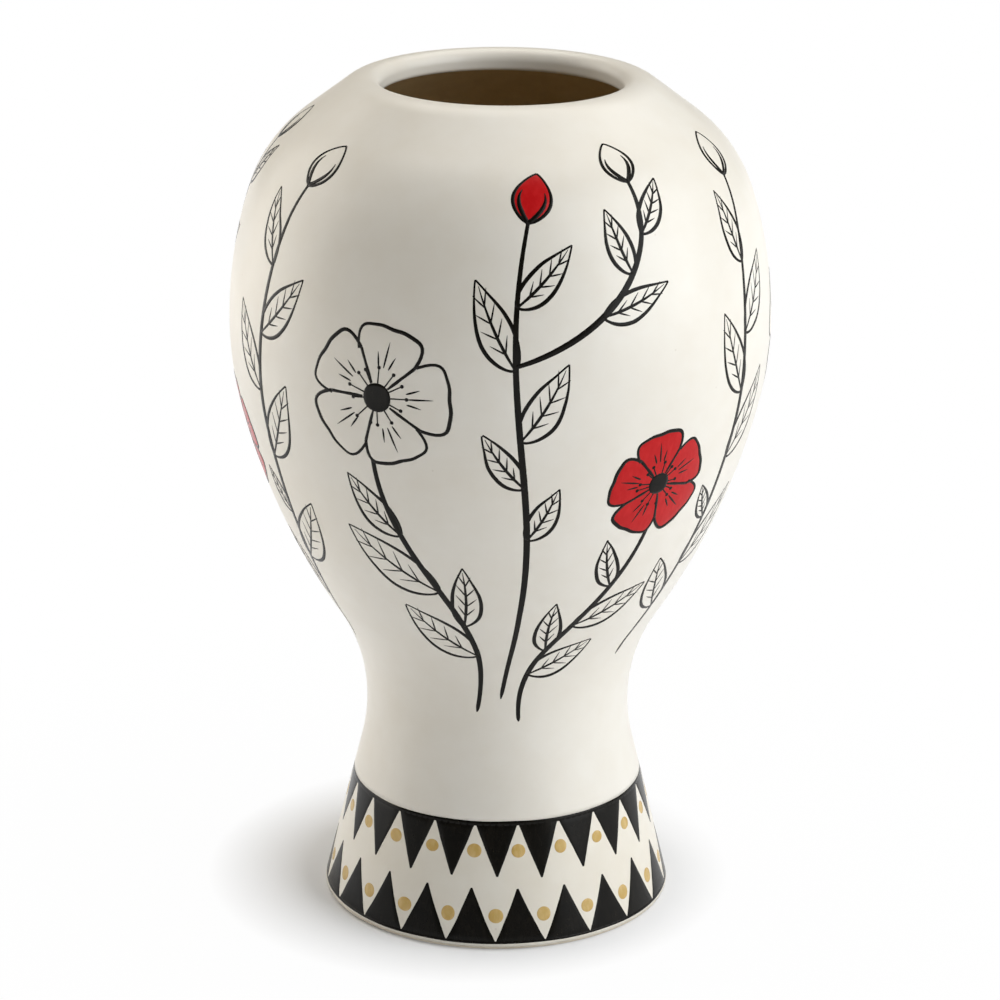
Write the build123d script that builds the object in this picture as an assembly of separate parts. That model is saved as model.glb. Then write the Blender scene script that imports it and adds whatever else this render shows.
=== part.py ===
from build123d import *
from math import acos, asin, cos, degrees, radians, sin, sqrt
import os

# A glazed ceramic vase: an egg-shaped bulb, cut open at the crown, on a neck and a straight flared foot.
# Millimetres, +Z up. The origin is on the table under the middle of the foot.

# Heights, stacked from the table to the crest of the lip
pad_thickness = 0.5
foot_height = 46.2
seam_to_waist = 30.6
waist_to_widest = 149.9
widest_to_crest = 90.8

# Outside radii at those heights
foot_edge_radius = 66.7
waist_radius = 49.9
widest_radius = 100.0
mouth_radius = 44.3

# Rounds of the outline, from the neck up past the widest point, where the belly's round meets the temple's,
# and the slope in degrees of the straight crown that runs up to the lip
neck_round = 72.0
cheek_round = 260.0
belly_round = 120.0
temple_round = 160.0
brow_round = 54.0
crown_slope = 37.0

# Rounds of the lip: outside and inside of its crest, and the lower edge of the mouth's wall
crest_outer_round = 14.0
crest_inner_round = 4.5
lower_lip_round = 1.6

# Walls and coats
glaze_thickness = 0.4
wall_thickness = 7.2
floor_thickness = 8.0
slip_thickness = 1.0

# Foot: the bare ring that the vase stands on, the recess inside it and the round at the floor
foot_ring_width = 14.0
foot_recess = 3.0
foot_edge_round = 0.8
ring_inner_round = 1.0
recess_round = 2.0
floor_round = 9.0
dry_foot_height = 1.3

# Felt pads under the foot ring
pad_count = 4
pad_radius = 4.5


def into_wall(point, direction, depth):
    """Move a point of the outline into the wall, square to the outline's direction there."""
    return point + Vector(-direction.Y, direction.X) * depth


def direction_at(outward):
    """The outline's direction, upwards, where it faces this way."""
    return Vector(-outward.Y, outward.X)


def chain_at(stations, depth):
    """Lines and tangent arcs from station to station, all moved into the wall by a depth.

    A station is a point of the outline with its direction: two alike in direction are joined by a line.
    """
    moved = [(into_wall(point, direction, depth), direction) for point, direction in stations]
    edges = []
    for (start, start_up), (end, end_up) in zip(moved, moved[1:]):
        straight = start_up == end_up
        edges.append(Line(start, end) if straight else TangentArc(start, end, tangent=start_up))
    return edges


def turned(*edges):
    """Spin a closed half section, drawn as radius and height, round the axis of the vase."""
    return revolve(Plane.XZ * make_face(edges), Axis.Z, 360)


# Heights and middles of the rounds
ring_z = pad_thickness
seam_z = ring_z + foot_height
waist_z = seam_z + seam_to_waist
widest_z = waist_z + waist_to_widest
crest_z = widest_z + widest_to_crest
crest_radius = mouth_radius + crest_inner_round
neck_middle = Vector(waist_radius + neck_round, waist_z)
belly_middle = Vector(widest_radius - belly_round, widest_z)
temple_middle = Vector(widest_radius - temple_round, widest_z)

# The flare is the line from the foot's edge that touches the neck's round, and the seam lies on it
upright = Vector(0, 1)
inward = Vector(-1, 0)
foot_edge = Vector(foot_edge_radius, ring_z)
foot_to_neck = neck_middle - foot_edge
flare_up = foot_to_neck.normalized().rotate(Axis.Z, degrees(asin(neck_round / foot_to_neck.length)))
seam_low = foot_edge + flare_up * (foot_height / flare_up.Y)
seam_high = seam_low + flare_up * slip_thickness
neck_low = into_wall(neck_middle, flare_up, neck_round)

# The cheek's round touches the neck's round from outside and holds the belly's round inside it:
# its middle is the third corner of a triangle with the other two middles, whose sides are all known
neck_to_belly = belly_middle - neck_middle
span = neck_to_belly.length
neck_to_cheek = cheek_round + neck_round
belly_to_cheek = cheek_round - belly_round
cheek_turn = acos((span**2 + neck_to_cheek**2 - belly_to_cheek**2) / (2 * span * neck_to_cheek))
cheek_way = neck_to_belly.normalized().rotate(Axis.Z, degrees(cheek_turn))
cheek_middle = neck_middle + cheek_way * neck_to_cheek
neck_high_up = direction_at(-cheek_way)
cheek_high_up = direction_at((belly_middle - cheek_middle).normalized())
neck_high = into_wall(neck_middle, neck_high_up, neck_round)
cheek_high = into_wall(belly_middle, cheek_high_up, -belly_round)
widest = Vector(widest_radius, widest_z)

# The crown is a straight slope up to the lip, and the brow's round joins it to the temple's round
crown_up = Vector(-cos(radians(crown_slope)), sin(radians(crown_slope)))
crest = Vector(crest_radius, crest_z)
mouth_top = Vector(mouth_radius, crest_z - crest_inner_round)
shoulder = into_wall(crest - upright * crest_outer_round, crown_up, -crest_outer_round)
slope_to_temple = into_wall(shoulder, crown_up, brow_round) - temple_middle
reach = slope_to_temple.dot(crown_up)
spread = (temple_round - brow_round) ** 2 - slope_to_temple.length**2
brow_middle = temple_middle + slope_to_temple - crown_up * (reach + sqrt(reach**2 + spread))
brow_up = direction_at((brow_middle - temple_middle).normalized())
brow_low = into_wall(temple_middle, brow_up, -temple_round)
brow_high = into_wall(brow_middle, crown_up, -brow_round)

seam = [(seam_low, flare_up), (seam_high, flare_up)]
bulb = [
    (seam_high, flare_up),
    (neck_low, flare_up),
    (neck_high, neck_high_up),
    (cheek_high, cheek_high_up),
    (widest, upright),
    (brow_low, brow_up),
    (brow_high, crown_up),
    (shoulder, crown_up),
]
lip = [(shoulder, crown_up), (crest, inward), (mouth_top, Vector(0, -1))]
cavity = [*bulb, (crest, inward)]


def mouth_at(depth, coat):
    """The lip's underside at a depth, the round at its edge, and the mouth's wall under a coat."""
    wall_radius = mouth_radius + coat
    start = into_wall(crest, inward, depth)
    edge = Vector(wall_radius, start.Y)
    top = Vector(wall_radius, mouth_top.Y)
    return FilletPolyline(start, edge, top, radius=[lower_lip_round - coat]).edges().sort_by(Axis.Y)


def flare_at(depth, z):
    """The point at a height on the flare, moved into the wall by a depth."""
    start = into_wall(seam_low, flare_up, depth)
    return start + flare_up * ((z - start.Y) / flare_up.Y)


def basin_at(depth, z, corner_round):
    """The inside from the middle of the floor out to the flare and up to the seam."""
    top = into_wall(seam_low, flare_up, depth)
    return FilletPolyline((0, z), flare_at(depth, z), top, radius=[corner_round]).edges()


# Depths of the surfaces below the outside of the glaze
clay_outside = glaze_thickness
clay_inside = clay_outside + wall_thickness
liner_inside = clay_inside + glaze_thickness

# Surfaces that two pieces share
underside_z = ring_z + foot_recess
floor_z = underside_z + floor_thickness
outside_clay = [*chain_at(bulb, clay_outside), *chain_at(lip, clay_outside)]
seam_outside_clay = chain_at(seam, clay_outside)[0]
seam_inside_clay = chain_at(seam, clay_inside)[0]
underlip_clay, lower_edge_clay, mouth_clay = mouth_at(clay_inside, glaze_thickness)
underlip_liner, lower_edge_skin, mouth_skin = mouth_at(liner_inside, 0)
inside_clay = [underlip_clay, *chain_at(cavity, clay_inside)]
basin_clay = basin_at(clay_inside, floor_z, floor_round)
glaze_stop = Line(lower_edge_skin @ 0, lower_edge_clay @ 0)

# Clay castings and the slip that joins them
head_casting = turned(
    *outside_clay,
    mouth_clay,
    lower_edge_clay,
    *inside_clay,
    Line(seam_inside_clay @ 1, seam_outside_clay @ 1),
)

foot_corner = flare_at(clay_outside, ring_z)
ring_inner_radius = foot_corner.X - foot_ring_width
foot_outline = FilletPolyline(
    (0, underside_z),
    (ring_inner_radius, underside_z),
    (ring_inner_radius, ring_z),
    foot_corner,
    seam_outside_clay @ 0,
    radius=[recess_round, ring_inner_round, foot_edge_round],
)
foot_casting = turned(
    *foot_outline.edges(),
    Line(seam_outside_clay @ 0, seam_inside_clay @ 0),
    *basin_clay,
    Line((0, floor_z), (0, underside_z)),
)

luting_slip = turned(
    seam_outside_clay,
    Line(seam_outside_clay @ 1, seam_inside_clay @ 1),
    seam_inside_clay,
    Line(seam_inside_clay @ 0, seam_outside_clay @ 0),
)

# Fired coats
outer_glaze = turned(
    *chain_at(bulb, 0),
    *chain_at(lip, 0),
    mouth_skin,
    lower_edge_skin,
    glaze_stop,
    lower_edge_clay,
    mouth_clay,
    *outside_clay,
    Line(seam_outside_clay @ 1, seam_high),
)

band_low = flare_at(0, ring_z + dry_foot_height)
band_low_clay = into_wall(band_low, flare_up, clay_outside)
foot_band = turned(
    Line(band_low, seam_high),
    Line(seam_high, seam_outside_clay @ 1),
    Line(seam_outside_clay @ 1, band_low_clay),
    Line(band_low_clay, band_low),
)

inner_glaze = turned(
    glaze_stop,
    underlip_liner,
    *chain_at(cavity, liner_inside),
    *chain_at(seam, liner_inside),
    *basin_at(liner_inside, floor_z + glaze_thickness, floor_round - glaze_thickness),
    Line((0, floor_z + glaze_thickness), (0, floor_z)),
    *basin_clay,
    seam_inside_clay,
    *inside_clay,
)

# Felt pads, spaced evenly along the middle of the foot ring's flat
flat_inner_radius = ring_inner_radius + ring_inner_round
flat_outer_radius = foot_corner.X - foot_edge_round
pad_circle_radius = (flat_inner_radius + flat_outer_radius) / 2
pad = extrude(Circle(pad_radius), pad_thickness)
felt_pads = Compound(children=[place * pad for place in PolarLocations(pad_circle_radius, pad_count)])

nodes = {
    "head_casting": head_casting,
    "foot_casting": foot_casting,
    "luting_slip": luting_slip,
    "outer_glaze": outer_glaze,
    "foot_band": foot_band,
    "inner_glaze": inner_glaze,
    "felt_pads": felt_pads,
}

os.makedirs("parts", exist_ok=True)
for node, shape in nodes.items():
    export_step(shape, f"parts/{node}.step")
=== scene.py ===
import bpy
import numpy as np
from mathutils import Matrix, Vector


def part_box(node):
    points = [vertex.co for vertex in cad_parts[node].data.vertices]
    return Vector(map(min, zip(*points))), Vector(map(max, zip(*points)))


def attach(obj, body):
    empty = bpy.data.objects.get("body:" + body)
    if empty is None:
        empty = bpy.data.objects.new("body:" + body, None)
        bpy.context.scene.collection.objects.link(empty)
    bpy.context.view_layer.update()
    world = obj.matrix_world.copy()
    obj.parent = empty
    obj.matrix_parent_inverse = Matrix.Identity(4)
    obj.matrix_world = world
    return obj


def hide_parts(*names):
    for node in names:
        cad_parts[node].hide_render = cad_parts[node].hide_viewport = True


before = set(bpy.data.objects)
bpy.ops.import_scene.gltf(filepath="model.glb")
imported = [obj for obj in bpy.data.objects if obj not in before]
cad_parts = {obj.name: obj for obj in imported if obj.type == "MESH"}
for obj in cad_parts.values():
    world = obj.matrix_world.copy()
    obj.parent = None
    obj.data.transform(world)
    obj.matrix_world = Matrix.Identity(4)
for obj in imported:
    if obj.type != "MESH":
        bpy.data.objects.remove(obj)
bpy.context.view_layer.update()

# Clay castings: the flared foot with its turned ring, and the bulb with its neck and lip, both slip-cast
# in cream earthenware. Only the foot's ring, recess and lowest edge stay bare, dry and a little grainy.


class Shade:
    """A shader socket. An operator between it and a number or another Shade adds one Math node."""

    def __init__(self, tree, socket=None):
        self.tree = tree
        self.socket = socket

    def node(self, kind, settings, inputs, output=0):
        """Add a node of a kind: its settings first, then a number, a colour or a link for each input."""
        made = self.tree.nodes.new(kind)
        for name, value in settings.items():
            setattr(made, name, value)
        for name, value in inputs.items():
            if isinstance(value, Shade):
                self.tree.links.new(value.socket, made.inputs[name])
            else:
                made.inputs[name].default_value = value
        return Shade(self.tree, made.outputs[output] if made.outputs else None)

    def math(self, operation, first, second):
        """One Math node between two numbers or values, whose sockets are 0 and 1."""
        return self.node("ShaderNodeMath", {"operation": operation}, {0: first, 1: second})

    def __add__(self, other):
        return self.math("ADD", self, other)

    def __sub__(self, other):
        return self.math("SUBTRACT", self, other)

    def __rsub__(self, other):
        return self.math("SUBTRACT", other, self)

    def __mul__(self, other):
        return self.math("MULTIPLY", self, other)

    __radd__ = __add__
    __rmul__ = __mul__

    def spread(self, low, high):
        """0 where this value is at or below low, 1 at or above high, and a straight ramp between."""
        inputs = {"Value": self, "From Min": low, "From Max": high}
        return self.node("ShaderNodeMapRange", {"clamp": True}, inputs)

    def noise(self, grain, detail=3.0):
        """Cloudy noise from 0 to 1 on this vector, with patches of about a grain in metres."""
        inputs = {"Vector": self, "Scale": 1 / grain, "Detail": detail}
        return self.node("ShaderNodeTexNoise", {}, inputs)

    def mix(self, low, high):
        """The colour low where this value is 0, and high where it is 1.

        A Mix node has its factor, its two colours and its mixed colour at these numbers of its sockets.
        """
        factor, first, second, mixed = 0, 6, 7, 2
        low, high = [(*colour, 1) if isinstance(colour, tuple) else colour for colour in (low, high)]
        settings = {"data_type": "RGBA", "clamp_factor": True}
        return self.node("ShaderNodeMix", settings, {factor: self, first: low, second: high}, mixed)

    def relief(self, depth):
        """A bumped normal whose highest and lowest points lie a depth in metres apart."""
        return self.node("ShaderNodeBump", {}, {"Height": self, "Distance": depth}, "Normal")


def start_finish(name):
    """A new material with no nodes, and its Object coordinates."""
    material = bpy.data.materials.new(name)
    material.use_nodes = True
    material.node_tree.nodes.clear()
    return material, Shade(material.node_tree).node("ShaderNodeTexCoord", {}, {}, "Object")


def end_finish(place, sockets):
    """Close a material with one Principled shader whose sockets take these values and links."""
    shader = place.node("ShaderNodeBsdfPrincipled", {}, sockets)
    place.node("ShaderNodeOutputMaterial", {}, {"Surface": shader})


def bare_clay(name, pale, dark):
    """Fired clay with no glaze: soft clouds, fine dark grains, a dry matt grain in its surface."""
    material, place = start_finish(name)
    clouds = place.noise(0.018, 4.0)
    grains = place.noise(0.0011, 2.0)
    tone = clouds.spread(0.3, 0.75) * 0.6 + grains.spread(0.62, 0.78) * 0.5
    grain_height = grains * 0.6 + place.noise(0.0004) * 0.4
    end_finish(place, {
        "Base Color": tone.mix(pale, dark),
        "Roughness": clouds * 0.1 + 0.74,
        "Normal": grain_height.relief(0.00012),
    })
    return material


def dress_node(node, material):
    """Give a CAD node its finish in place of the plain one that it came with."""
    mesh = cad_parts[node].data
    mesh.materials.clear()
    mesh.materials.append(material)


cream_clay = bare_clay("cream_clay", (0.76, 0.69, 0.58), (0.62, 0.53, 0.41))
dress_node("foot_casting", cream_clay)
dress_node("head_casting", cream_clay)

# Luting slip: a thin ring of the same clay, wetter and with more iron in it, brushed on to the seam
# between neck and foot before firing. The painted band's top line covers it.
dress_node("luting_slip", bare_clay("fired_slip", (0.68, 0.59, 0.47), (0.52, 0.42, 0.31)))

# Outer glaze: a warm ivory coat, poured over the bulb, the lip and the mouth's wall and fired to a satin
# gloss. It lies 0.4 mm thick on the clay and waves a little, as a poured coat does.

mm = 0.001
coat = 0.4 * mm
lip_outer_round = 14 * mm
lip_inner_round = 4.5 * mm
lower_lip_round = 1.6 * mm
mouth_radius = 44.3 * mm
mouth_wall = 1.9 * mm
band_low_radius = 66.38 * mm
band_low_height = 1.8 * mm
flare_length = 59.99 * mm
crown_length = 20.15 * mm

# Direction in degrees above level at each end of the outline's stretches, from the foot up to the lip,
# and the rounds in between: neck, cheek, belly, temple and brow
bends = np.radians([103.87, 103.87, 57.0, 77.25, 90.0, 107.98, 143.0, 143.0])
rounds = np.array([72, 260, 120, 160, 54]) * mm
crest_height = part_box("outer_glaze")[1].z
seam_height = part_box("foot_band")[1].z


def walk(bend, length):
    """Places along a line that has this direction at evenly spaced points: the sums of its steps."""
    middle = (bend[1:] + bend[:-1]) / 2
    step = length / len(middle)
    across = np.concatenate([[0], np.cumsum(np.cos(middle) * step)])
    up = np.concatenate([[0], np.cumsum(np.sin(middle) * step)])
    return across, up


def trace_outline():
    """Length, radius, height and direction along the outside, from the band's lower edge over the lip.

    The direction runs straight from bend to bend, each round being its turn times its radius long. It is
    averaged over a short window, so that one round passes smoothly into the next, and then walked.
    """
    stretches = np.concatenate([[flare_length], rounds * np.abs(np.diff(bends[1:-1])), [crown_length]])
    ends = np.concatenate([[0], np.cumsum(stretches)])
    count, window = 1601, 61
    along = np.linspace(0, ends[-1], count)
    weights = np.hanning(window + 2)[1:-1]
    bend = np.pad(np.interp(along, ends, bends), window // 2, mode="edge")
    bend = np.convolve(bend, weights / weights.sum(), "valid")
    across, up = walk(bend, ends[-1])
    crest_radius = mouth_radius + lip_inner_round
    shoulder_radius = crest_radius - lip_outer_round * np.cos(bends[-1] + np.pi / 2)
    shoulder_height = crest_height - lip_outer_round * (1 - np.sin(bends[-1] - np.pi / 2))
    share = along / ends[-1]
    radius = band_low_radius + across + share * (shoulder_radius - band_low_radius - across[-1])
    height = band_low_height + up + share * (shoulder_height - band_low_height - up[-1])
    lip = [
        (lip_outer_round * (np.pi - bends[-1]), np.linspace(bends[-1], np.pi, 41)),
        (lip_inner_round * np.pi / 2, np.linspace(np.pi, 1.5 * np.pi, 31)),
        (mouth_wall, np.full(9, 1.5 * np.pi)),
        (lower_lip_round * np.pi / 2, np.linspace(1.5 * np.pi, 2 * np.pi, 17)),
    ]
    for length, turn in lip:
        across, up = walk(turn, length)
        along = np.append(along, along[-1] + np.linspace(0, length, len(turn))[1:])
        radius = np.append(radius, radius[-1] + across[1:])
        height = np.append(height, height[-1] + up[1:])
        bend = np.append(bend, turn[1:])
    return along, radius, height, bend, ends[-1]


outline_along, outline_radius, outline_height, outline_bend, shoulder_along = trace_outline()
crest_along = shoulder_along + lip_outer_round * (np.pi - bends[-1])
lip_end = outline_along[-1]


def radius_at(along):
    """Outside radius at a length along the outline."""
    return np.interp(along, outline_along, outline_radius)


def along_at(height):
    """Length along the outline at a height below the crest."""
    body = outline_along <= shoulder_along
    return np.interp(height, outline_height[body], outline_along[body])


def ripple(turn, along):
    """How far the poured coat stands out or in: three slow waves round the vase, drifting with height."""
    slow = np.sin(2 * turn + 9 * along + 0.6) * 0.5
    middle = np.sin(3 * turn - 21 * along + 2.1) * 0.3
    quick = np.sin(7 * turn + 38 * along) * np.sin(55 * along) * 0.2
    return (slow + middle + quick) * 0.09 * mm


def on_glaze(turn, along, lift=0.0):
    """Points of the coat: places along the outline, lifted square to it and turned from the front.

    The coat's own waves are added to the lift.
    """
    bend = np.interp(along, outline_along, outline_bend)
    out = lift + ripple(turn, along)
    radius = radius_at(along) + out * np.sin(bend)
    height = np.interp(along, outline_along, outline_height) - out * np.cos(bend)
    return np.stack(np.broadcast_arrays(radius * np.sin(turn), -radius * np.cos(turn), height), -1)


def grid_faces(rows, columns, close_rows=False, close_columns=False):
    """Corner numbers of the four-sided faces between neighbouring points of a grid."""
    row, column = np.meshgrid(
        np.arange(rows if close_rows else rows - 1),
        np.arange(columns if close_columns else columns - 1),
        indexing="ij",
    )
    next_row = (row + 1) % rows
    next_column = (column + 1) % columns
    corners = [(row, column), (row, next_column), (next_row, next_column), (next_row, column)]
    return np.stack([r * columns + c for r, c in corners], -1).reshape(-1, 4)


def add_piece(name, points, faces, material, slot):
    """A smooth-shaded mesh of these points and lists of faces, riding on the vase."""
    mesh = bpy.data.meshes.new(name)
    mesh.from_pydata(points.reshape(-1, 3), [], [f for part in faces for f in part.tolist()])
    mesh.polygons.foreach_set("use_smooth", np.ones(len(mesh.polygons), bool))
    mesh.materials.append(material)
    piece = bpy.data.objects.new(name, mesh)
    bpy.context.scene.collection.objects.link(piece)
    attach(piece, "root")
    return piece


def add_coat(name, along, columns, material, slot):
    """A coat on the outside: its section goes up the lengths given and back down a coat's depth below."""
    section = np.concatenate([along, along[::-1]])
    lift = np.concatenate([np.zeros(len(along)), np.full(len(along), -coat)])
    turn = np.linspace(0, 2 * np.pi, columns, endpoint=False)
    points = on_glaze(turn[None, :], section[:, None], lift[:, None])
    return add_piece(name, points, [grid_faces(len(section), columns, True, True)], material, slot)


def glaze_sockets(place, colour, gloss, wave):
    """Sockets of a fired glaze: its colour, a gloss that varies in patches, an orange-peel wave."""
    patches = place.noise(0.022, 2.0)
    peel = place.noise(0.0045, 2.0)
    return {
        "Base Color": colour,
        "Roughness": patches.spread(0.25, 0.75) * 0.05 + gloss,
        "Normal": peel.relief(wave),
        "IOR": 1.52,
    }


def ivory_glaze_finish(name, pale, warm):
    """Ivory glaze: pale with warmer clouds where it lies thicker, and rare small iron specks."""
    material, place = start_finish(name)
    clouds = place.noise(0.045, 4.0).spread(0.3, 0.72)
    milk = place.noise(0.009, 3.0).spread(0.35, 0.7)
    cells = {"Vector": place, "Scale": 130.0}
    from_middle = place.node("ShaderNodeTexVoronoi", {}, cells, "Distance")
    chance = place.node("ShaderNodeTexVoronoi", {}, cells, "Color")
    rare = place.node("ShaderNodeSeparateColor", {}, {"Color": chance}).spread(0.93, 0.95)
    specks = (1 - from_middle.spread(0.03, 0.07)) * rare * 0.2
    ground = (clouds * 0.7 + milk * 0.3).mix(pale, warm)
    colour = specks.mix(ground, (0.36, 0.27, 0.17))
    end_finish(place, glaze_sockets(place, colour, 0.31, 0.00003))
    return material


ivory_glaze = ivory_glaze_finish("ivory_glaze", (0.87, 0.84, 0.775), (0.82, 0.775, 0.69))
seam_along = along_at(seam_height)
bulb_rows = 178
lip_rows = 56
glaze_columns = 208
glaze_along = np.concatenate([
    np.linspace(seam_along, shoulder_along, bulb_rows, endpoint=False),
    np.linspace(shoulder_along, lip_end, lip_rows),
])
outer_coat = add_coat("ivory_coat", glaze_along, glaze_columns, ivory_glaze, "ivory_glaze")
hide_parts("outer_glaze")

# Liner glaze: a buff, glassy coat swilled round the inside, from under the lip down over the floor, so
# that the vase holds water. It is slightly uneven, and the dim inside makes it look brown.

wall_depth = 8.0 * mm
floor_round = 8.6 * mm
floor_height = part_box("inner_glaze")[0].z + coat
floor_rows = 14
basin_rows = 16
basin_gap = 1.0 * mm
flat_rows = 6
wall_stride = 9
liner_columns = 144


def liner_section():
    """Radius and height of the liner's free side, from the middle of the floor up to the lip's underside.

    The wall is the outside moved in by the wall's depth, at each stride of the outline's points. A round
    joins it to the floor, and a flat to the lip.
    """
    body = outline_along <= crest_along + 1e-9
    wall_radius = (outline_radius - wall_depth * np.sin(outline_bend))[body]
    wall_height = (outline_height + wall_depth * np.cos(outline_bend))[body]
    flare = bends[0]
    reach = floor_round / np.tan(flare / 2)
    corner = np.interp(floor_height, wall_height, wall_radius)
    middle = np.array([corner - reach, floor_height + floor_round])
    turn = np.linspace(-np.pi / 2, flare - np.pi / 2, basin_rows)
    basin = middle + floor_round * np.stack([np.cos(turn), np.sin(turn)], -1)
    floor = np.stack([np.linspace(0, middle[0], floor_rows), np.full(floor_rows, floor_height)], -1)
    above = wall_height > basin[-1, 1] + basin_gap
    wall = np.stack([wall_radius[above], wall_height[above]], -1)
    flat = np.linspace(wall[-1, 0], mouth_radius + lower_lip_round, flat_rows)
    under_lip = np.stack([flat, np.full(flat_rows, wall[-1, 1])], -1)
    clear_of_flat = wall[:-(wall_stride // 2 + 1)]
    return np.concatenate([floor[:-1], basin, clear_of_flat[::wall_stride], under_lip])


def add_turned(name, section, columns, material, slot):
    """A solid turned from a half section that starts and ends on the axis, where its poles are."""
    turn = np.linspace(0, 2 * np.pi, columns, endpoint=False)
    radius, height = section[1:-1, 0, None], section[1:-1, 1, None]
    around = np.broadcast_arrays(radius * np.sin(turn), -radius * np.cos(turn), height)
    ring = np.stack(around, -1).reshape(-1, 3)
    poles = np.array([(0, 0, section[0, 1]), (0, 0, section[-1, 1])])
    rows = len(section) - 2
    here = np.arange(columns)
    beside = (here + 1) % columns
    last = (rows - 1) * columns
    first_fan = np.stack([np.full(columns, len(ring)), beside, here], -1)
    last_fan = np.stack([last + here, last + beside, np.full(columns, len(ring) + 1)], -1)
    faces = [grid_faces(rows, columns, False, True), first_fan, last_fan]
    return add_piece(name, np.concatenate([ring, poles]), faces, material, slot)


def liner_finish():
    """Buff liner glaze: darker runs down the wall, slow clouds and a glassy skin."""
    material, place = start_finish("buff_liner")
    stretched = place.node("ShaderNodeMapping", {}, {"Vector": place, "Scale": (1.0, 1.0, 0.18)})
    runs = stretched.noise(0.007, 4.0).spread(0.32, 0.72)
    clouds = place.noise(0.03, 3.0).spread(0.3, 0.7)
    colour = (runs * 0.5 + clouds * 0.5).mix((0.72, 0.575, 0.355), (0.62, 0.48, 0.275))
    end_finish(place, glaze_sockets(place, colour, 0.3, 0.00008))
    return material


free_side = liner_section()
slope = np.gradient(free_side, axis=0)
outward = np.stack([slope[:, 1], -slope[:, 0]], -1) / np.linalg.norm(slope, axis=1, keepdims=True)
clay_side = free_side + outward * coat
clay_side[0] = (0, floor_height - coat)
liner = np.concatenate([clay_side, free_side[::-1]])
liner_coat = add_turned("liner_coat", liner, liner_columns, liner_finish(), "liner_glaze")
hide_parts("inner_glaze")

# Foot band: the same ivory coat, a shade warmer, on the flare of the foot. It is fired on as a ground for
# the painted border, and stops just above the table, where the clay stays bare.
band_rows = 44
band_columns = 192
band_along = np.linspace(0, seam_along, band_rows)
band_ivory = ivory_glaze_finish("band_ivory", (0.87, 0.835, 0.755), (0.81, 0.755, 0.65))
band_coat = add_coat("band_coat", band_along, band_columns, band_ivory, "painted_band")
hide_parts("foot_band")

# Border: brushed on the band in black and ochre under a clear coat. Two rows of black teeth stand tip to
# gap between plain lines, with an ochre dot in each hollow.

rng = np.random.default_rng(11)
paint_lift = 0.03 * mm
paint_root = 0.1 * mm

# A painted line's section, in widths off its middle: an edge, three points of its flat top, the other
# edge, and two points at its root in the glaze
section_places = np.array([-1.0, -0.9, 0.0, 0.9, 1.0, 0.9, -0.9]) / 2


def joined(parts):
    """Several meshes, each of points and faces, as one, with the faces counted on."""
    counts = np.cumsum([0] + [len(points) for points, lists in parts])
    faces = [f + start for (points, lists), start in zip(parts, counts) for f in lists]
    return np.concatenate([points for points, lists in parts]), faces


def brush_stroke(turn, along, width, lift=paint_lift):
    """A line of paint of a changing width: the painted section carried along a path on the glaze.

    The section lies square to the path. Its edges dip just under the glaze, and its top is lifted off it.
    """
    radius = radius_at(along)
    across_x, across_y = -np.gradient(along), np.gradient(turn) * radius
    size = np.hypot(across_x, across_y) + 1e-12
    across_x, across_y = across_x / size, across_y / size
    lifts = np.append(np.array([-0.5, 0.95, 1.0, 0.95, -0.5]) * lift, [-paint_root, -paint_root])
    offset = section_places[None, :] * width[:, None]
    section_turn = turn[:, None] + offset * across_x[:, None] / radius[:, None]
    section_along = along[:, None] + offset * across_y[:, None]
    points = on_glaze(section_turn, section_along, lifts[None, :]).reshape(-1, 3)
    count, ring = len(turn), len(section_places)
    ends = [np.arange(ring)[None, :], np.arange((count - 1) * ring, count * ring)[::-1][None, :]]
    faces = grid_faces(count, ring, False, True)[:, ::-1]
    return points, [faces, *ends]


def paint_patch(turn, along, lift=paint_lift):
    """A field of paint over a grid of places on the glaze: a thin slab whose edges dip under the glaze."""
    rows, columns = turn.shape
    rise = np.full((rows, columns), lift)
    rise[[0, -1], :] = -lift / 2
    rise[:, [0, -1]] = -lift / 2
    top = on_glaze(turn, along, rise).reshape(-1, 3)
    root = on_glaze(turn, along, np.full((rows, columns), -paint_root)).reshape(-1, 3)
    number = np.arange(rows * columns).reshape(rows, columns)
    rim = np.concatenate([number[0, :-1], number[:-1, -1], number[-1, :0:-1], number[:0:-1, 0]])
    following = np.roll(rim, -1)
    below = rows * columns
    side = np.stack([rim, rim + below, following + below, following], -1)
    faces = grid_faces(rows, columns)
    return np.concatenate([top, root]), [faces, faces[:, ::-1] + below, side]


def eased(count, edge=0.015):
    """Shares from 0 to 1, evenly spaced but for a narrow first and last step."""
    return np.concatenate([[0], np.linspace(edge, 1 - edge, count - 2), [1]])


def wander(count, size):
    """A slow drift along a line, straight between a few random knots, as an unsteady hand makes."""
    knots = rng.normal(0, size, 6)
    return np.interp(np.linspace(0, 1, count), np.linspace(0, 1, len(knots)), knots)


def brush_finish(name, deep, thin, shine):
    """Underglaze colour laid on by brush: deep where it is thick, with thinner streaks and clouds."""
    material, place = start_finish(name)
    stretched = place.node("ShaderNodeMapping", {}, {"Vector": place, "Scale": (1.0, 1.0, 0.3)})
    streaks = stretched.noise(0.0016, 3.0).spread(0.45, 0.8)
    clouds = place.noise(0.007, 3.0).spread(0.4, 0.8)
    colour = (streaks * 0.55 + clouds * 0.45).mix(deep, thin)
    end_finish(place, {**glaze_sockets(place, colour, 0.2, 0.00002), "IOR": shine})
    return material


black_brushwork = brush_finish("black_brushwork", (0.003, 0.0025, 0.0015), (0.011, 0.009, 0.006), 1.24)
ochre_brushwork = brush_finish("ochre_brushwork", (0.58, 0.38, 0.11), (0.78, 0.60, 0.29), 1.45)

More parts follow.
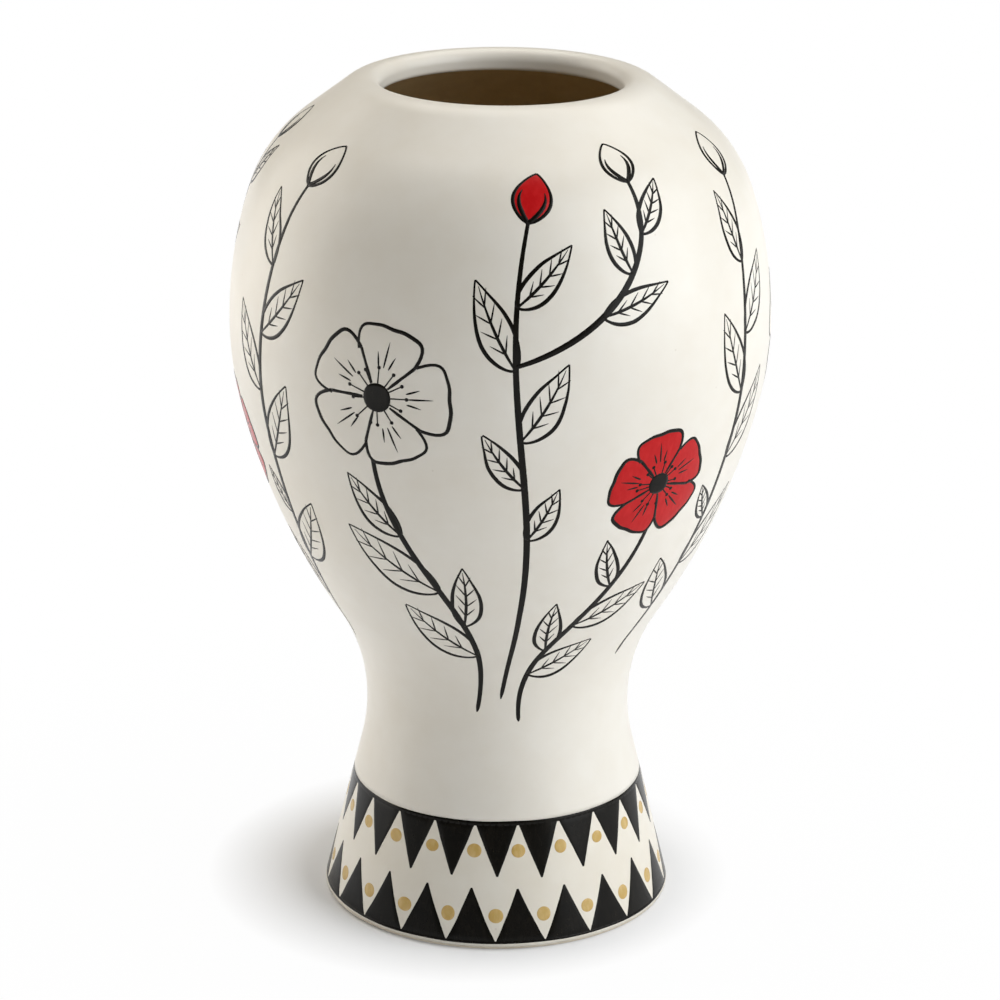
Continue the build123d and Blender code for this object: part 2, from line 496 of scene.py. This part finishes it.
line_columns = 240
top_line_width = 1.7 * mm
low_line_width = 1.0 * mm
top_line_along = seam_along - top_line_width / 2
low_line_along = 1.4 * mm
tooth_count = 22
tooth_height = 20.5 * mm
pitch = 2 * np.pi / tooth_count
low_dot_radius = 2.7 * mm
high_dot_radius = 2.5 * mm


def ring_line(along, width):
    """A line right round the vase: the painted section carried round and closed on itself.

    Slow sine waves make it a little uneven in height and width. It is thinner than the teeth that join it.
    """
    turn = np.linspace(0, 2 * np.pi, line_columns, endpoint=False)
    waver = np.sin(3 * turn + 1) * 0.12 * mm + np.sin(11 * turn) * 0.05 * mm
    size = width * (1 + 0.06 * np.sin(5 * turn + 2) + 0.04 * np.sin(17 * turn))
    lifts = np.append(np.array([-0.015, 0.027, 0.028, 0.027, -0.015]) * mm, [-paint_root, -paint_root])
    lengths = along + waver[:, None] + section_places * size[:, None]
    points = on_glaze(turn[:, None], lengths, lifts[None, :])
    return points.reshape(-1, 3), [grid_faces(line_columns, len(lifts), True, True)[:, ::-1]]


def tooth(turn, root, tip):
    """One painted triangle: rows that narrow from the root's full pitch to a small blunt tip.

    Where the tip points down, each row runs from right to left, so that the faces still point outwards.
    """
    share = eased(12)[:, None]
    side = np.sign(tip - root) * (2 * eased(9)[None, :] - 1)
    lean = rng.normal(0, 0.02)
    half = pitch * 0.485 * (1 - share) ** 1.04 + pitch * 0.02
    edge = 1 + wander(len(share), 0.02)[:, None] * np.abs(side)
    across = turn + lean * pitch * share + half * side * edge
    return paint_patch(across, root + (tip - root) * share + 0 * side)


def disc_grid(count):
    """A square grid squeezed into a disc of radius 1.

    Each place is multiplied by the root of 1 less half the square of the place the other way.
    """
    u, v = np.meshgrid(2 * eased(count) - 1, 2 * eased(count) - 1, indexing="ij")
    return u * np.sqrt(1 - v**2 / 2), v * np.sqrt(1 - u**2 / 2)


def dot(turn, along, size):
    """A round dab of paint, each a little taller or wider than the next."""
    x, y = disc_grid(9)
    x = x * size * rng.uniform(0.9, 1.08)
    y = y * size * rng.uniform(0.95, 1.15)
    return paint_patch(turn + y / radius_at(along), along + x)


teeth = [ring_line(top_line_along, top_line_width), ring_line(low_line_along, low_line_width)]
dots = []
for number in range(tooth_count):
    upper = number * pitch
    lower = upper + pitch / 2
    upper_tip = top_line_along - tooth_height * rng.uniform(0.97, 1.03)
    lower_tip = low_line_along + tooth_height * rng.uniform(0.97, 1.03)
    teeth.append(tooth(upper, top_line_along, upper_tip))
    teeth.append(tooth(lower, low_line_along, lower_tip))
    dots.append(dot(upper, low_line_along + tooth_height * 0.5, low_dot_radius))
    dots.append(dot(lower, top_line_along - tooth_height * 0.5, high_dot_radius))
add_piece("border_teeth", *joined(teeth), black_brushwork, "painted_band")
add_piece("border_dots", *joined(dots), ochre_brushwork, "painted_band")

# Sprigs: flowering stems brushed on the bulb in black line, with open leaves and red or pale flowers.
# Each is painted stem first, then leaves, then petals, outlines and the dark eye of the flower.

red_brushwork = brush_finish("red_brushwork", (0.50, 0.006, 0.008), (0.60, 0.016, 0.018), 1.26)
stem_width = 2.5 * mm
leaf_edge_width = 1.75 * mm
leaf_rib_width = 1.35 * mm
leaf_vein_width = 0.75 * mm
petal_edge_width = 1.8 * mm
petal_side_width = 1.5 * mm
petal_fold_width = 0.9 * mm
bud_edge_width = 1.6 * mm
sepal_width = 2.0 * mm
stamen_width = 0.6 * mm
stamen_tip_radius = 0.7 * mm
petal_count = 5
stamen_count = 13
stem_steps = 130
leaf_lead_steps = 18

# Paint on paint stands higher: petals, then their lines, a bud's sepals and a flower's eye
petal_lift = paint_lift * 1.6
petal_line_lift = paint_lift * 2.6
sepal_lift = paint_lift * 3.0
eye_lift = paint_lift * 3.4

stem_lines = []
leaf_lines = []
red_petals = []
pale_petals = []
petal_lines = []
eyes = []


def set_down(turn, along, heading, x, y):
    """Lay flat places on the glaze: x runs in the heading from a point, and y to the left of it."""
    right = x * np.cos(heading) - y * np.sin(heading)
    up = x * np.sin(heading) + y * np.cos(heading)
    return turn + right / radius_at(along + up), along + up


def set_round(turn, along, far, angle):
    """Lay places round a point on the glaze, each at a distance and at an angle from level right."""
    return set_down(turn, along, 0.0, far * np.cos(angle), far * np.sin(angle))


def swelling_line(path, most, start=0.35, end=0.12, lift=paint_lift):
    """A brush line along a path, which starts lean, swells under the hand and lifts off to a point.

    Its width follows the root of a sine, less a third towards the end, and never falls below a straight
    change from the share at its start to the share at its end.
    """
    share = np.linspace(0, 1, len(path[0]))
    body = np.sin(np.pi * share**0.8) ** 0.5
    width = most * np.maximum(body * (1 - 0.35 * share), (1 - share) * start + share * end)
    return brush_stroke(*path, width, lift)


def leaf(turn, along, heading, length, width, bend):
    """An outlined leaf: two edges bowed from a bent midrib, and pairs of side veins.

    The midrib bends with the square of the way along it, and the edges bow off it by a sine. A vein runs
    forward and out from the midrib, over about 0.7 of the half width where it starts.
    """
    share = np.linspace(0, 1, 34)
    rib_x = length * share
    rib_y = bend * length * share**2
    bow = width / 2 * np.sin(np.pi * share**0.75) ** 0.9
    for side in (-1, 1):
        edge = set_down(turn, along, heading, rib_x, rib_y + side * bow + wander(len(share), 0.12 * mm))
        leaf_lines.append(swelling_line(edge, leaf_edge_width, 0.6, 0.4))
    rib = set_down(turn, along, heading, rib_x * 0.93, rib_y * 0.93)
    leaf_lines.append(swelling_line(rib, leaf_rib_width, 0.7, 0.2))
    for place in np.linspace(0.2, 0.72, 4):
        for side in (-1, 1):
            share = np.linspace(0, 1, 9)
            at = place + share * 0.16
            y = bend * length * at**2 + side * share * 0.7 * width / 2 * np.sin(np.pi * place**0.75)
            vein = set_down(turn, along, heading, length * at, y)
            leaf_lines.append(swelling_line(vein, leaf_vein_width, 0.8, 0.2))


def blossom(turn, along, heading, size, petals):
    """An open blossom of petals that meet side by side, each with an outline and short folds.

    A petal's rim falls off towards its sides by the fourth power, and has a small dip in its middle.
    """
    petal = 2 * np.pi / petal_count
    side = (2 * eased(31) - 1)[:, None]
    reach = eased(11)[None, :]
    for number in range(petal_count):
        middle = heading + number * petal + rng.normal(0, 0.03)
        dip = 0.07 * np.exp(-((side / 0.2) ** 2))
        rim = size / 2 * (1 - 0.3 * side**4 - dip + 0.02 * np.cos(9 * side)) * rng.uniform(0.95, 1.05)
        angle = middle + petal * 0.5 * side + 0.05 * reach * np.sin(3 * side)
        far = rim * (0.06 + 0.94 * reach)
        petals.append(paint_patch(*set_round(turn, along, far, angle), petal_lift))
        edge = set_round(turn, along, far[:, -1], angle[:, -1])
        petal_lines.append(swelling_line(edge, petal_edge_width, 0.75, 0.6, petal_line_lift))
        edge = set_round(turn, along, far[0, -1] * np.linspace(0.3, 1.0, 14), angle[0, -1])
        petal_lines.append(swelling_line(edge, petal_side_width, 0.5, 0.9, petal_line_lift))
        for fold in (-0.42, 0.0, 0.42):
            share = np.linspace(0.42, 0.7 + 0.08 * np.cos(7 * fold), 10)
            line = set_round(turn, along, size / 2 * share, middle + petal * 0.5 * fold * share**0.5)
            petal_lines.append(swelling_line(line, petal_fold_width, lift=petal_line_lift))


def eye(turn, along, size):
    """The flower's dark eye: a round dab with a ring of short stamens and their tips."""
    x, y = disc_grid(11)
    eyes.append(paint_patch(turn + y * size / radius_at(along), along + x * size, eye_lift))
    for number in range(stamen_count):
        ray = number * 2 * np.pi / stamen_count + rng.normal(0, 0.08)
        share = np.linspace(0.9, rng.uniform(1.7, 2.1), 8) * size
        line = set_down(turn, along, ray, share, 0 * share)
        eyes.append(swelling_line(line, stamen_width, 1.0, 0.8, eye_lift))
        tip_turn, tip_along = line[0][-1], line[1][-1]
        tip_x, tip_y = stamen_tip_radius * x, stamen_tip_radius * y
        eyes.append(paint_patch(tip_turn + tip_y / radius_at(tip_along), tip_along + tip_x, eye_lift))


def bud(turn, along, heading, size, petals):
    """A closed bud: a painted drop with narrow blunt ends, in a black cup of two sepals.

    Its half width and the sepals' bow follow a sine along it. Each row of the drop runs from left to
    right, so that its faces point outwards.
    """
    share = eased(15)[:, None]
    side = (1 - 2 * eased(11))[None, :]
    x = size * share + 0 * side
    y = side * size * 0.34 * np.maximum(np.sin(np.pi * share**0.85), 0.02) ** 0.8
    petals.append(paint_patch(*set_down(turn, along, heading, x, y), petal_lift))
    for edge in (-1, 1):
        share = np.linspace(0, 1, 22)
        y = edge * size * 0.35 * np.sin(np.pi * share**0.85) ** 0.8
        line = set_down(turn, along, heading, size * share, y)
        petal_lines.append(swelling_line(line, bud_edge_width, 0.8, 0.5, petal_line_lift))
        share = np.linspace(0, 0.62, 14)
        y = edge * size * (0.3 * np.sin(np.pi * share) - 0.12 * share)
        line = set_down(turn, along, heading, size * share, y)
        petal_lines.append(swelling_line(line, sepal_width, 0.9, 0.2, sepal_lift))


def stem(shift, points):
    """A stem along a cubic blend of four guiding points, and the turn, length and heading of its path.

    Each guiding point is a turn in degrees, past the shift, and a height in millimetres. The line swells
    by a sine towards its middle, and a root rounds off its first steps.
    """
    turn, height = np.array(points, float).T
    share = np.linspace(0, 1, stem_steps)
    blend = np.stack([(1 - share) ** 3, 3 * share * (1 - share) ** 2, 3 * share**2 * (1 - share), share**3])
    path_along = along_at(height * mm) @ blend
    path_turn = np.radians(turn + shift) @ blend + wander(stem_steps, 0.25 * mm) / radius_at(path_along)
    width = stem_width * (0.4 + 0.6 * np.sin(np.pi * (0.12 + 0.8 * share)))
    width *= np.sqrt(np.minimum(share / 0.016 + 0.1, 1))
    stem_lines.append(brush_stroke(path_turn, path_along, width))
    rise = np.gradient(path_along)
    run = np.gradient(path_turn) * radius_at(path_along)
    return path_turn, path_along, np.arctan2(rise, run)


def sprig(shift, points, flower, petals, size, leaves):
    """A stem with a blossom or a bud of a size in millimetres at its tip, and leaves along it.

    A leaf has a share of the stem, a side, left (1) or right (-1), and a length in millimetres. It leans
    off the heading that the stem has a little further on.
    """
    turn, along, heading = stem(shift, points)
    last = stem_steps - 1
    for place, side, length in leaves:
        index = int(place * last)
        ahead = heading[min(index + leaf_lead_steps, last)]
        angle = ahead + side * rng.uniform(0.62, 0.78)
        width = length * rng.uniform(0.36, 0.42)
        leaf(turn[index], along[index], angle, length * mm, width * mm, -side * 0.16)
    if flower == "blossom":
        blossom(turn[-1], along[-1], heading[-1], size * mm, petals)
        eye(turn[-1], along[-1], size * mm * 0.1)
    else:
        bud(turn[-1], along[-1], heading[-1], size * mm, petals)


for shift in (0, 120, 240):
    sprig(shift, [(-8, 90), (2, 138), (-36, 160), (-25, 224)], "blossom", pale_petals, 54,
          [(0.2, 1, 36), (0.33, -1, 30), (0.47, 1, 42), (0.66, 1, 30)])
    sprig(shift, [(9, 86), (4, 120), (42, 136), (37, 188)], "blossom", red_petals, 44,
          [(0.22, -1, 28), (0.36, 1, 26), (0.5, -1, 32), (0.68, 1, 24)])
    sprig(shift, [(1, 96), (16, 170), (-4, 220), (6, 286)], "bud", red_petals, 19,
          [(0.38, -1, 24), (0.5, 1, 26), (0.6, -1, 32), (0.74, 1, 34), (0.86, -1, 28)])
    sprig(shift, [(50, 108), (68, 170), (54, 224), (68, 290)], "bud", pale_petals, 19,
          [(0.12, 1, 30), (0.22, -1, 36), (0.33, 1, 19), (0.46, -1, 36), (0.6, 1, 34), (0.72, -1, 32),
           (0.85, 1, 28)])
    sprig(shift, [(3.1, 238), (14, 243), (36, 262), (33, 296)], "bud", pale_petals, 17,
          [(0.45, -1, 28), (0.66, 1, 24), (0.82, -1, 22)])
add_piece("sprig_stems", *joined(stem_lines), black_brushwork, "ivory_glaze")
add_piece("sprig_leaves", *joined(leaf_lines), black_brushwork, "ivory_glaze")
add_piece("blossom_petals", *joined(red_petals), red_brushwork, "ivory_glaze")
add_piece("pale_petals", *joined(pale_petals), ivory_glaze, "ivory_glaze")
add_piece("blossom_lines", *joined(petal_lines), black_brushwork, "ivory_glaze")
add_piece("blossom_eyes", *joined(eyes), black_brushwork, "ivory_glaze")

# Felt pads: four self-adhesive discs of pressed wool felt under the foot's ring, cut with a punch, so
# their edges are square but a little soft and furry.

pad_radius = 4.5 * mm
pad_soft_round = 0.16 * mm
pad_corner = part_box("felt_pads")[1]
pad_height = pad_corner.z
pad_circle = pad_corner.x - pad_radius
pad_columns = 40


def felt_finish():
    """Pressed felt: dark fibres in tangled streaks, with a dull, soft sheen."""
    material, place = start_finish("wool_felt")
    fibres = place.noise(0.0003, 5.0)
    tufts = place.noise(0.0016, 3.0)
    tone = (fibres * 0.6 + tufts * 0.4).spread(0.3, 0.7)
    end_finish(place, {
        "Base Color": tone.mix((0.03, 0.022, 0.016), (0.10, 0.075, 0.055)),
        "Roughness": 0.95,
        "Normal": (fibres * 0.7 + tufts * 0.3).relief(0.0002),
        "Sheen Weight": 0.4,
    })
    return material


def felt_pad(turn):
    """A disc with a soft edge: a half section with a small round above and below, turned on its middle."""
    corner = np.linspace(0, np.pi / 2, 6)
    corner_radius = pad_radius - pad_soft_round + pad_soft_round * np.sin(corner)
    low = np.stack([corner_radius, pad_soft_round - pad_soft_round * np.cos(corner)], -1)
    high = np.stack([low[::-1, 0], pad_height - low[::-1, 1]], -1)
    flat = np.linspace(0.25, 0.9, 4) * pad_radius
    under = np.stack([flat, 0 * flat], -1)
    over = np.stack([flat[::-1], 0 * flat + pad_height], -1)
    section = np.concatenate([under, low, high, over])
    around = np.linspace(0, 2 * np.pi, pad_columns, endpoint=False)
    x = pad_circle * np.cos(turn) + section[:, 0, None] * np.cos(around)
    y = pad_circle * np.sin(turn) + section[:, 0, None] * np.sin(around)
    points = np.stack(np.broadcast_arrays(x, y, section[:, 1, None]), -1)
    first_ring = np.arange(pad_columns)
    last_ring = first_ring + (len(section) - 1) * pad_columns
    caps = [first_ring[::-1][None, :], last_ring[None, :]]
    return points.reshape(-1, 3), [grid_faces(len(section), pad_columns, False, True), *caps]


pads = [felt_pad(turn) for turn in np.radians([0, 90, 180, 270])]
pad_piece = add_piece("felt_discs", *joined(pads), felt_finish(), "felt")
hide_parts("felt_pads")

# Studio: a plain white table that keeps the shadow near the vase and fades to white further out, large
# soft lamps to the right, to the left and above, and a camera that looks down a little.

shadow_middle = (-0.011, 0.009, 0)
table_reach = 6.0


def table_finish():
    """White table: it takes light and shadow, and fades to white for the camera away from the shadow.

    Nearly all of the fade lies on a narrow ring about the foot, and the last of it on a wide one.
    """
    material, place = start_finish("white_table")
    camera_ray = place.node("ShaderNodeLightPath", {}, {}, "Is Camera Ray")
    glossy_ray = place.node("ShaderNodeLightPath", {}, {}, "Is Glossy Ray")
    span = {0: place, 1: shadow_middle}
    away = place.node("ShaderNodeVectorMath", {"operation": "DISTANCE"}, span, "Value")
    fade = away.spread(0.063, 0.102) * 0.97 + away.spread(0.1, 0.3) * 0.03
    matt = place.node("ShaderNodeBsdfDiffuse", {}, {"Color": (0.85, 0.86, 0.88, 1)})
    white = place.node("ShaderNodeEmission", {}, {"Color": (1, 1, 1, 1), "Strength": 1.0})
    faded = place.node("ShaderNodeMixShader", {}, {0: fade * (camera_ray + glossy_ray), 1: matt, 2: white})
    place.node("ShaderNodeOutputMaterial", {}, {"Surface": faded})
    return material


table_mesh = bpy.data.meshes.new("white_table")
table_corners = np.array([(-1, -1, 0), (1, -1, 0), (1, 1, 0), (-1, 1, 0)]) * table_reach
table_mesh.from_pydata(table_corners, [], [(0, 1, 2, 3)])
table_mesh.materials.append(table_finish())
table = bpy.data.objects.new("white_table", table_mesh)
bpy.context.scene.collection.objects.link(table)

lamp_target = np.array([0, 0, 0.18])


def soft_lamp(name, azimuth, elevation, distance, size, power, tint, facing=None):
    """A soft lamp at an azimuth to the right of the camera, an elevation and a distance from the vase.

    It has a width and a height, a power in watts and a tint. It faces the middle of the vase or, where
    facing is given, as a lamp at that elevation would.
    """
    light = bpy.data.lights.new(name, "AREA")
    light.shape = "RECTANGLE"
    light.size, light.size_y = size
    light.energy = power
    light.color = tint
    lamp = bpy.data.objects.new(name, light)
    side, up = np.radians(azimuth), np.radians(elevation)
    away = np.array([np.sin(side) * np.cos(up), -np.cos(side) * np.cos(up), np.sin(up)])
    lamp.location = lamp_target + away * distance
    face = up if facing is None else np.radians(facing)
    lamp.rotation_euler = (np.pi / 2 - face, 0, side)
    lamp.visible_camera = False
    bpy.context.scene.collection.objects.link(lamp)


# The right lamp is as cool as a window's light and the rest is faintly warm. The last lamp lies on the
# table to the left and shines up, as light thrown back by a white table does.
cool_light = (0.965, 0.988, 1.0)
warm_light = (1.0, 0.962, 0.895)
soft_lamp("key_lamp", 67, 25, 1.3, (1.3, 1.5), 16.6, cool_light)
soft_lamp("fill_lamp", -108, 16, 1.3, (1.3, 1.3), 10.8, warm_light)
soft_lamp("top_lamp", 165, 71, 2.35, (2.4, 2.4), 32, warm_light)
soft_lamp("bounce_lamp", -90, -11, 0.92, (2.0, 0.9), 3.8, warm_light, -90)

world = bpy.data.worlds.new("studio")
bpy.context.scene.world = world
world.use_nodes = True
background = world.node_tree.nodes["Background"]
background.inputs["Color"].default_value = (*warm_light, 1)
background.inputs["Strength"].default_value = 0.11

bpy.context.scene.view_settings.view_transform = "Standard"
camera_data = bpy.data.cameras.new("camera")
camera_data.sensor_width = 36
camera_data.lens = 129.6
camera_data.shift_x = 0.0012
camera = bpy.data.objects.new("camera", camera_data)
camera.location = (0, -1.2818, 0.6)
camera.rotation_mode = "ZXY"
camera_dip = 19.13
camera_roll = 0.41
camera.rotation_euler = np.radians([90 - camera_dip, 0, camera_roll])
bpy.context.scene.collection.objects.link(camera)
bpy.context.scene.camera = camera
